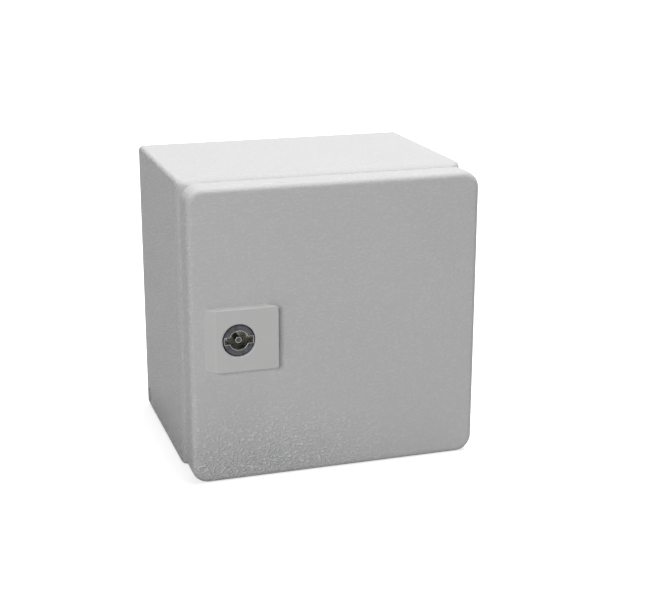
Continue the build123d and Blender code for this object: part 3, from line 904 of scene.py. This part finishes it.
def cover_rings():
    """The slab's rings, from its base to the middle of its front."""
    rings = [cover_ring(0.0, f) for f in (cover_base, cover_front - COVER_EDGE_R - SUPPORT)]
    for across, along in arc(0, 90, COVER_EDGE_STEPS):
        inset = COVER_EDGE_R * (1 - across)
        rings.append(cover_ring(inset, cover_front - COVER_EDGE_R * (1 - along)))
    rings.append(cover_ring(COVER_EDGE_R + SUPPORT, cover_front))
    return rings


def cover_hole():
    """Cutter with a flared mouth, so that the hole gets a slanted lip with a soft rim."""
    bore = LOCK_HOLE_D / 2
    rim = COVER_LIP * COVER_LIP_SOFT
    rings = [
        (bore, cover_base - MM),
        (bore, cover_front - COVER_LIP),
        (bore + COVER_LIP - rim, cover_front - rim),
        (bore + COVER_LIP, cover_front - rim / 3),
        (bore + COVER_LIP + rim, cover_front),
        (bore + COVER_LIP + rim, cover_front + MM),
    ]
    return skin("cover_hole", [round_ring(radius, f, lock_x) for radius, f in rings])


cover_moulding = skin("cover_moulding", cover_rings())
combine(cover_moulding, cover_hole(), "DIFFERENCE")
smooth_by_angle(cover_moulding)
finish_piece(cover_moulding, cover_plastic, "door", "cover_plastic", "lock_cover")

# %% [markdown]
# ## The lock insert
#
# The key turns a cast insert with a double-bit socket: a bore with a slot on each side of it
# and a 3 mm pin standing in the middle. The insert is turned from rings, the socket is cut
# out, the pin is joined on, and every edge of the mouth is then broken with a tiny bevel,
# because those edges are the bright lines in the picture.

# %% Key insert
INSERT_R = 7.95 * MM
INSERT_CHAMFER = 0.4 * MM
SHANK_R = 6.6 * MM
KEY_BORE_R = 4.8 * MM
KEY_BORE_DEPTH = 11.0 * MM
KEY_SLOT_W = 3.3 * MM
KEY_SLOT_SPAN = 14.5 * MM
KEY_SLOT_DEPTH = 5.2 * MM
KEY_PIN_R = 1.5 * MM
KEY_PIN_RECESS = 1.0 * MM
CAM_T = 2.5 * MM
CAM_SQUARE = 7.0 * MM
MOUTH_BEVEL = 0.17 * MM
MOUTH_EDGE_DEG = 50.0
FLAT_DEG = 0.5
SLOT_TIP_STEPS = 6
SAME_PLANE = 0.001 * MM
HEAD_GAP = 0.15 * MM

head_back = -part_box("lock_seal")[1].y + HEAD_GAP


def insert_blank():
    """Square tail, shank and head, with a chamfered front edge."""
    shank_back = insert_rear + CAM_T
    rings = [
        (SHANK_R, shank_back),
        (SHANK_R, head_back),
        (INSERT_R, head_back),
        (INSERT_R, insert_front - INSERT_CHAMFER),
        (INSERT_R - INSERT_CHAMFER, insert_front),
    ]
    blank = skin("key_insert", [round_ring(radius, f, lock_x) for radius, f in rings])
    half = CAM_SQUARE / 2
    signs = ((1, 1), (-1, 1), (-1, -1), (1, -1))
    tail = skin("tail", [
        [(lock_x + half * x, -forward, half * z) for x, z in signs]
        for forward in (insert_rear, shank_back + MM)
    ])
    return combine(blank, tail, "UNION")


def slot_cutter():
    """Bar with round ends, as wide as the key's bits."""
    half_w = KEY_SLOT_W / 2
    tip_r = KEY_SLOT_SPAN / 2
    reach = math.degrees(math.asin(half_w / tip_r))
    right = list(arc(-reach, reach, SLOT_TIP_STEPS))
    left = list(arc(180 - reach, 180 + reach, SLOT_TIP_STEPS))
    return skin("slot", [
        [(lock_x + tip_r * across, -forward, tip_r * along) for across, along in right + left]
        for forward in (insert_front - KEY_SLOT_DEPTH, insert_front + MM)
    ])


def break_mouth(piece):
    """Bevel the edges of the socket's mouth and of the pin's tip."""
    work = bmesh.new()
    work.from_mesh(piece.data)
    bmesh.ops.dissolve_limit(
        work,
        angle_limit=math.radians(FLAT_DEG),
        verts=work.verts,
        edges=work.edges,
        delimit=set(),
    )
    planes = (-insert_front, -(insert_front - KEY_PIN_RECESS))
    chosen = []
    for edge in work.edges:
        if len(edge.link_faces) != 2 or edge.calc_face_angle() < math.radians(MOUTH_EDGE_DEG):
            continue
        if any(all(abs(v.co.y - plane) < SAME_PLANE for v in edge.verts) for plane in planes):
            chosen.append(edge)
    worn_and_highlit = bmesh.ops.bevel(
        work,
        geom=chosen,
        offset=MOUTH_BEVEL,
        segments=2,
        profile=0.5,
        affect="EDGES",
        clamp_overlap=True,
    )
    for face in worn_and_highlit["faces"]:
        face.material_index = 1
    work.to_mesh(piece.data)
    work.free()


key_insert = insert_blank()
combine(key_insert, slot_cutter(), "DIFFERENCE")
bore_span = (insert_front - KEY_BORE_DEPTH, insert_front + MM)
pin_span = (insert_front - KEY_BORE_DEPTH - MM, insert_front - KEY_PIN_RECESS)
bore = skin("bore", [round_ring(KEY_BORE_R, f, lock_x, steps=64) for f in bore_span])
combine(key_insert, bore, "DIFFERENCE")
pin = skin("pin", [round_ring(KEY_PIN_R, f, lock_x, steps=32) for f in pin_span])
combine(key_insert, pin, "UNION")
break_mouth(key_insert)
smooth_by_angle(key_insert, degrees=30.0)
# the bevel faces take the rubbed zinc, which is wear and a painted highlight
edge_faces = [face.index for face in key_insert.data.polygons if face.material_index == 1]
finish_piece(key_insert, dark_chrome, "lock", "chromed_zinc", "lock_insert")
key_insert.data.materials.append(rubbed_edge_and_highlight)
for index in edge_faces:
    key_insert.data.polygons[index].material_index = 1
print("rubbed faces:", len(edge_faces))

# %% [markdown]
# ## Geometry Nodes: trees with named sizes
#
# A thread, a ring of teeth and a bead of foam each follow a rule, so each is a small tree of
# Geometry Nodes with its sizes as named inputs. One helper starts a tree, one ends it, and one
# lets it grow on an empty object and keeps the plain mesh that comes out.

# %% Trees for what repeats
def new_tree(name, **sizes):
    """Geometry tree with named sizes; gives the tree and its input sockets."""
    tree = bpy.data.node_groups.new(name, "GeometryNodeTree")
    for label, usual in sizes.items():
        kind = "NodeSocketInt" if isinstance(usual, int) else "NodeSocketFloat"
        socket = tree.interface.new_socket(label, in_out="INPUT", socket_type=kind)
        socket.default_value = usual
    tree.interface.new_socket("Geometry", in_out="OUTPUT", socket_type="NodeSocketGeometry")
    return tree, tree.nodes.new("NodeGroupInput").outputs


def end_tree(tree, geometry, material):
    """Make everything real geometry with one material."""
    real = add_node(tree, "GeometryNodeRealizeInstances", {"Geometry": geometry})
    dressed = add_node(tree, "GeometryNodeSetMaterial", {"Geometry": real, "Material": material})
    add_node(tree, "NodeGroupOutput", {"Geometry": dressed})


def grow(name, tree, place, **sizes):
    """Plain mesh of what a tree makes from these sizes, moved to its place."""
    piece = bpy.data.objects.new(name, bpy.data.meshes.new(name))
    bpy.context.scene.collection.objects.link(piece)
    growth = piece.modifiers.new("growth", "NODES")
    growth.node_group = tree
    for item in tree.interface.items_tree:
        if item.in_out == "INPUT" and item.name in sizes:
            growth[item.identifier] = sizes[item.name]
    apply_modifiers(piece)
    piece.data.transform(place)
    return piece


# %% [markdown]
# ## Threaded studs
#
# The plate hangs on four studs that are welded to the back, and two more carry the earth
# leads. A real thread is a ridge wound round a core, and that is how the tree makes it: a spiral
# curve of the right pitch, swept with a small square that stands on its corner, round a core
# with a chamfered tip. The studs of the plate also have a collar that keeps it off the back.

# %% Threads
STUD_COLLAR_R = 4.5 * MM
STUD_COLLAR_H = 8.0 * MM
TIP_HEIGHT = 0.6 * MM
CORE_SIDES = 24
COLLAR_SIDES = 40


def threaded_stud_tree(material):
    """Grid of studs, each a core, a tip, a wound ridge and a collar."""
    tree, size = new_tree(
        "threaded_stud",
        Radius=2.5 * MM,
        Length=20.0 * MM,
        Pitch=0.8 * MM,
        Depth=0.45 * MM,
        Collar=0.0,
        Lift=0.0,
        Across=0.0,
        Up=0.0,
        Columns=1,
        Rows=1,
    )
    core_r = add_node(tree, "ShaderNodeMath", {
        0: size["Radius"], 1: size["Depth"],
    }, operation="SUBTRACT")
    core_h = add_node(tree, "ShaderNodeMath", {
        0: size["Length"], 1: TIP_HEIGHT,
    }, operation="SUBTRACT")
    wound = add_node(tree, "ShaderNodeMath", {0: core_h, 1: size["Pitch"]}, operation="SUBTRACT")
    turns = add_node(tree, "ShaderNodeMath", {0: wound, 1: size["Pitch"]}, operation="DIVIDE")
    core = add_node(tree, "GeometryNodeMeshCone", {
        "Vertices": CORE_SIDES, "Radius Top": core_r, "Radius Bottom": core_r, "Depth": core_h,
    })
    tip_r = add_node(tree, "ShaderNodeMath", {0: core_r, 1: TIP_HEIGHT}, operation="SUBTRACT")
    tip = add_node(tree, "GeometryNodeMeshCone", {
        "Vertices": CORE_SIDES, "Radius Top": tip_r, "Radius Bottom": core_r,
        "Depth": TIP_HEIGHT,
    })
    tip_at = add_node(tree, "ShaderNodeCombineXYZ", {"Z": core_h})
    tip_up = add_node(tree, "GeometryNodeTransform", {"Geometry": tip, "Translation": tip_at})
    helix = add_node(tree, "GeometryNodeCurveSpiral", {
        "Resolution": 20, "Rotations": turns, "Start Radius": core_r, "End Radius": core_r,
        "Height": wound,
    })
    upright = add_node(tree, "GeometryNodeSetCurveNormal", {"Curve": helix}, mode="Z_UP")
    ridge = add_node(tree, "GeometryNodeCurvePrimitiveCircle", {
        "Resolution": 4, "Radius": size["Depth"],
    })
    thread = add_node(tree, "GeometryNodeCurveToMesh", {
        "Curve": upright, "Profile Curve": ridge, "Fill Caps": True,
    })
    thread_at = add_node(tree, "ShaderNodeCombineXYZ", {"Z": size["Pitch"]})
    thread_up = add_node(tree, "GeometryNodeTransform", {
        "Geometry": thread, "Translation": thread_at,
    })
    collar = add_node(tree, "GeometryNodeMeshCone", {
        "Vertices": COLLAR_SIDES, "Radius Top": size["Collar"], "Radius Bottom": size["Collar"],
        "Depth": size["Lift"],
    })
    one = add_node(tree, "GeometryNodeJoinGeometry", {
        "Geometry": [core, tip_up, thread_up, collar],
    })
    step_x = add_node(tree, "ShaderNodeCombineXYZ", {"X": size["Across"]})
    step_y = add_node(tree, "ShaderNodeCombineXYZ", {"Y": size["Up"]})
    row = add_node(tree, "GeometryNodeMeshLine", {"Count": size["Columns"], "Offset": step_x})
    column = add_node(tree, "GeometryNodeMeshLine", {"Count": size["Rows"], "Offset": step_y})
    lines = add_node(tree, "GeometryNodeInstanceOnPoints", {"Points": column, "Instance": row})
    points = add_node(tree, "GeometryNodeRealizeInstances", {"Geometry": lines})
    all_studs = add_node(tree, "GeometryNodeInstanceOnPoints", {"Points": points, "Instance": one})
    end_tree(tree, all_studs, material)
    return tree


stud_tree = threaded_stud_tree(zinc_steel)
rows_low, rows_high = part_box("plate_studs")
to_front = Matrix.Rotation(math.radians(90), 4, "X")
to_back = Matrix.Rotation(math.radians(-90), 4, "X")
first_stud = (rows_low.x + STUD_COLLAR_R, rows_high.y, rows_low.z + STUD_COLLAR_R)
plate_threads = grow(
    "plate_threads",
    stud_tree,
    Matrix.Translation(first_stud) @ to_front,
    Length=rows_high.y - rows_low.y,
    Collar=STUD_COLLAR_R,
    Lift=STUD_COLLAR_H,
    Across=rows_high.x - rows_low.x - 2 * STUD_COLLAR_R,
    Up=rows_high.z - rows_low.z - 2 * STUD_COLLAR_R,
    Columns=2,
    Rows=2,
)
smooth_by_angle(plate_threads)
finish_piece(plate_threads, zinc_steel, "box", "zinc_steel", "plate_studs")

M6 = {"Radius": 3.0 * MM, "Pitch": 1.0 * MM, "Depth": 0.55 * MM}


def earth_thread(name, node, body, axis, turn):
    """M6 thread in place of an earth stud, which stands on its low end along an axis."""
    low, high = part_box(node)
    foot = (low + high) / 2
    foot[axis] = low[axis]
    place = Matrix.Translation(foot) @ turn
    thread = grow(name, stud_tree, place, Length=high[axis] - low[axis], **M6)
    smooth_by_angle(thread)
    finish_piece(thread, zinc_steel, body, "zinc_steel", node)


earth_thread("body_earth_thread", "body_earth_stud", "box", 2, Matrix.Identity(4))
earth_thread("door_earth_thread", "door_earth_stud", "door", 1, to_back)

# %% [markdown]
# ## Toothed washers under the earth nuts
#
# An earth nut sits on a washer whose teeth bite through the paint. Its teeth are cut in the
# rim and twisted like the blades of a fan. The tree sets one small blade on every point of a
# circle, turned to face outwards and then twisted, and sweeps the flat ring that carries them.

# %% Washers
RING_STEPS = 56


def toothed_washer_tree(material):
    """Flat ring with twisted blades all round."""
    tree, size = new_tree(
        "toothed_washer",
        Bore=3.15 * MM,
        Rim=4.9 * MM,
        Tip=6.0 * MM,
        Sheet=0.9 * MM,
        Blade=1.5 * MM,
        Twist=0.5,
        Teeth=14,
    )
    width, both = (
        add_node(tree, "ShaderNodeMath", {0: size["Rim"], 1: size["Bore"]}, operation=operation)
        for operation in ("SUBTRACT", "ADD")
    )
    middle = add_node(tree, "ShaderNodeMath", {0: both, 1: 2.0}, operation="DIVIDE")
    path = add_node(tree, "GeometryNodeCurvePrimitiveCircle", {
        "Resolution": RING_STEPS, "Radius": middle,
    })
    flat = add_node(tree, "GeometryNodeSetCurveNormal", {"Curve": path}, mode="Z_UP")
    section = add_node(tree, "GeometryNodeCurvePrimitiveQuadrilateral", {
        "Width": width, "Height": size["Sheet"],
    })
    ring = add_node(tree, "GeometryNodeCurveToMesh", {"Curve": flat, "Profile Curve": section})
    reach = add_node(tree, "ShaderNodeMath", {0: size["Tip"], 1: middle}, operation="SUBTRACT")
    blade_size = add_node(tree, "ShaderNodeCombineXYZ", {
        "X": reach, "Y": size["Blade"], "Z": size["Sheet"],
    })
    blade = add_node(tree, "GeometryNodeMeshCube", {"Size": blade_size})
    half = add_node(tree, "ShaderNodeMath", {0: reach, 1: 2.0}, operation="DIVIDE")
    outward = add_node(tree, "ShaderNodeCombineXYZ", {"X": half})
    blade_out = add_node(tree, "GeometryNodeTransform", {"Geometry": blade, "Translation": outward})
    seats = add_node(tree, "GeometryNodeMeshCircle", {"Vertices": size["Teeth"], "Radius": middle})
    step = add_node(tree, "ShaderNodeMath", {0: 2 * math.pi, 1: size["Teeth"]}, operation="DIVIDE")
    turn = add_node(tree, "ShaderNodeMath", {
        0: add_node(tree, "GeometryNodeInputIndex"), 1: step,
    }, operation="MULTIPLY")
    twist = add_node(tree, "ShaderNodeCombineXYZ", {"X": size["Twist"], "Z": turn})
    blades = add_node(tree, "GeometryNodeInstanceOnPoints", {
        "Points": seats, "Instance": blade_out, "Rotation": twist,
    })
    whole = add_node(tree, "GeometryNodeJoinGeometry", {"Geometry": [ring, blades]})
    end_tree(tree, whole, material)
    return tree


washer_tree = toothed_washer_tree(zinc_steel)


def toothed_washer(name, node, turn, body):
    """Washer that fills the place of a plain one."""
    low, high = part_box(node)
    washer = grow(name, washer_tree, Matrix.Translation((low + high) / 2) @ turn)
    smooth_by_angle(washer, degrees=25.0)
    finish_piece(washer, zinc_steel, body, "zinc_steel", node)


toothed_washer("body_toothed_washer", "body_earth_washer", Matrix.Identity(4), "box")
toothed_washer("door_toothed_washer", "door_earth_washer", to_back, "door")

# %% [markdown]
# ## The foamed seal
#
# A machine lays the seal into the door as liquid foam, which rises to a soft bead with
# rounded flanks. The tree draws the door's path, fillets its corners and sweeps a rounded
# section along it. Noise then pulls the skin in by up to a quarter of a millimetre, because foam
# never rises quite evenly, and never out past the bead's true size.

# %% Foam bead
BEAD_WIDTH = 6.0 * MM
BEAD_CORNER_R = 6.0 * MM
BEAD_SHOULDER_R = 2.4 * MM
BEAD_STEP = 1.2 * MM
RISE_SEED = 4.0

bead_low, bead_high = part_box("door_gasket")


def foam_bead_tree(material):
    """Bead of foam along a square path with round corners."""
    tree, size = new_tree(
        "foam_bead",
        Across=130.0 * MM,
        Up=130.0 * MM,
        Corner=BEAD_CORNER_R,
        Width=BEAD_WIDTH,
        Height=5.45 * MM,
        Shoulder=BEAD_SHOULDER_R,
        Sag=0.25 * MM,
        Lump=9.0 * MM,
    )
    square = add_node(tree, "GeometryNodeCurvePrimitiveQuadrilateral", {
        "Width": size["Across"], "Height": size["Up"],
    })
    path = add_node(tree, "GeometryNodeFilletCurve", {
        "Curve": square, "Count": 10, "Radius": size["Corner"],
    }, mode="POLY")
    points = add_node(tree, "GeometryNodeResampleCurve", {
        "Curve": path, "Length": BEAD_STEP,
    }, mode="LENGTH")
    flat = add_node(tree, "GeometryNodeSetCurveNormal", {"Curve": points}, mode="Z_UP")
    box = add_node(tree, "GeometryNodeCurvePrimitiveQuadrilateral", {
        "Width": size["Width"], "Height": size["Height"],
    })
    section = add_node(tree, "GeometryNodeFilletCurve", {
        "Curve": box, "Count": 6, "Radius": size["Shoulder"],
    }, mode="POLY")
    bead = add_node(tree, "GeometryNodeCurveToMesh", {"Curve": flat, "Profile Curve": section})
    scale = add_node(tree, "ShaderNodeMath", {0: 1.0, 1: size["Lump"]}, operation="DIVIDE")
    rise = add_node(tree, "ShaderNodeTexNoise", {
        "Vector": add_node(tree, "GeometryNodeInputPosition"), "W": RISE_SEED, "Scale": scale,
        "Detail": 1.0,
    }, noise_dimensions="4D")
    pull = add_node(tree, "ShaderNodeMapRange", {
        "Value": rise,
        "From Min": 0.25, "From Max": 0.75,
        "To Min": 0.0, "To Max": size["Sag"],
    })
    inward = add_node(tree, "ShaderNodeMath", {0: pull, 1: -1.0}, operation="MULTIPLY")
    offset = add_node(tree, "ShaderNodeVectorMath", {
        0: add_node(tree, "GeometryNodeInputNormal"), "Scale": inward,
    }, operation="SCALE")
    uneven = add_node(tree, "GeometryNodeSetPosition", {"Geometry": bead, "Offset": offset})
    end_tree(tree, uneven, material)
    return tree


foam_bead = grow(
    "foam_bead",
    foam_bead_tree(seal_foam),
    Matrix.Translation((bead_low + bead_high) / 2) @ to_front,
    Across=bead_high.x - bead_low.x - BEAD_WIDTH,
    Up=bead_high.z - bead_low.z - BEAD_WIDTH,
    Height=bead_high.y - bead_low.y,
)
smooth_by_angle(foam_bead, degrees=60.0)
finish_piece(foam_bead, seal_foam, "door", "foam_seal", "door_gasket")

# %% [markdown]
# ## The nodes that keep their own mesh
#
# Plates, leaves, nuts and the lock's working parts already have the right shape. Each gets the
# finish of the real part, by assigning to its material slot.

# %% Finishes for the remaining nodes
finishes = {
    coat: (
        "rear_panel", "upper_body_leaf", "lower_body_leaf", "upper_door_leaf", "lower_door_leaf",
    ),
    pin_steel: ("upper_hinge_pin", "lower_hinge_pin"),
    zinc_sheet: ("mounting_plate",),
    zinc_steel: (
        "plate_washers", "plate_nuts", "body_earth_nut", "door_earth_nut",
        "lock_screws", "lock_cam", "cam_washer", "cam_screw",
    ),
    seal_rubber: ("lock_seal",),
    cast_zinc: ("lock_housing",),
}
for material, names in finishes.items():
    for name in names:
        node = nodes[name]
        node.data.materials.clear()
        node.data.materials.append(material)
    print(material.name, len(names), "nodes")
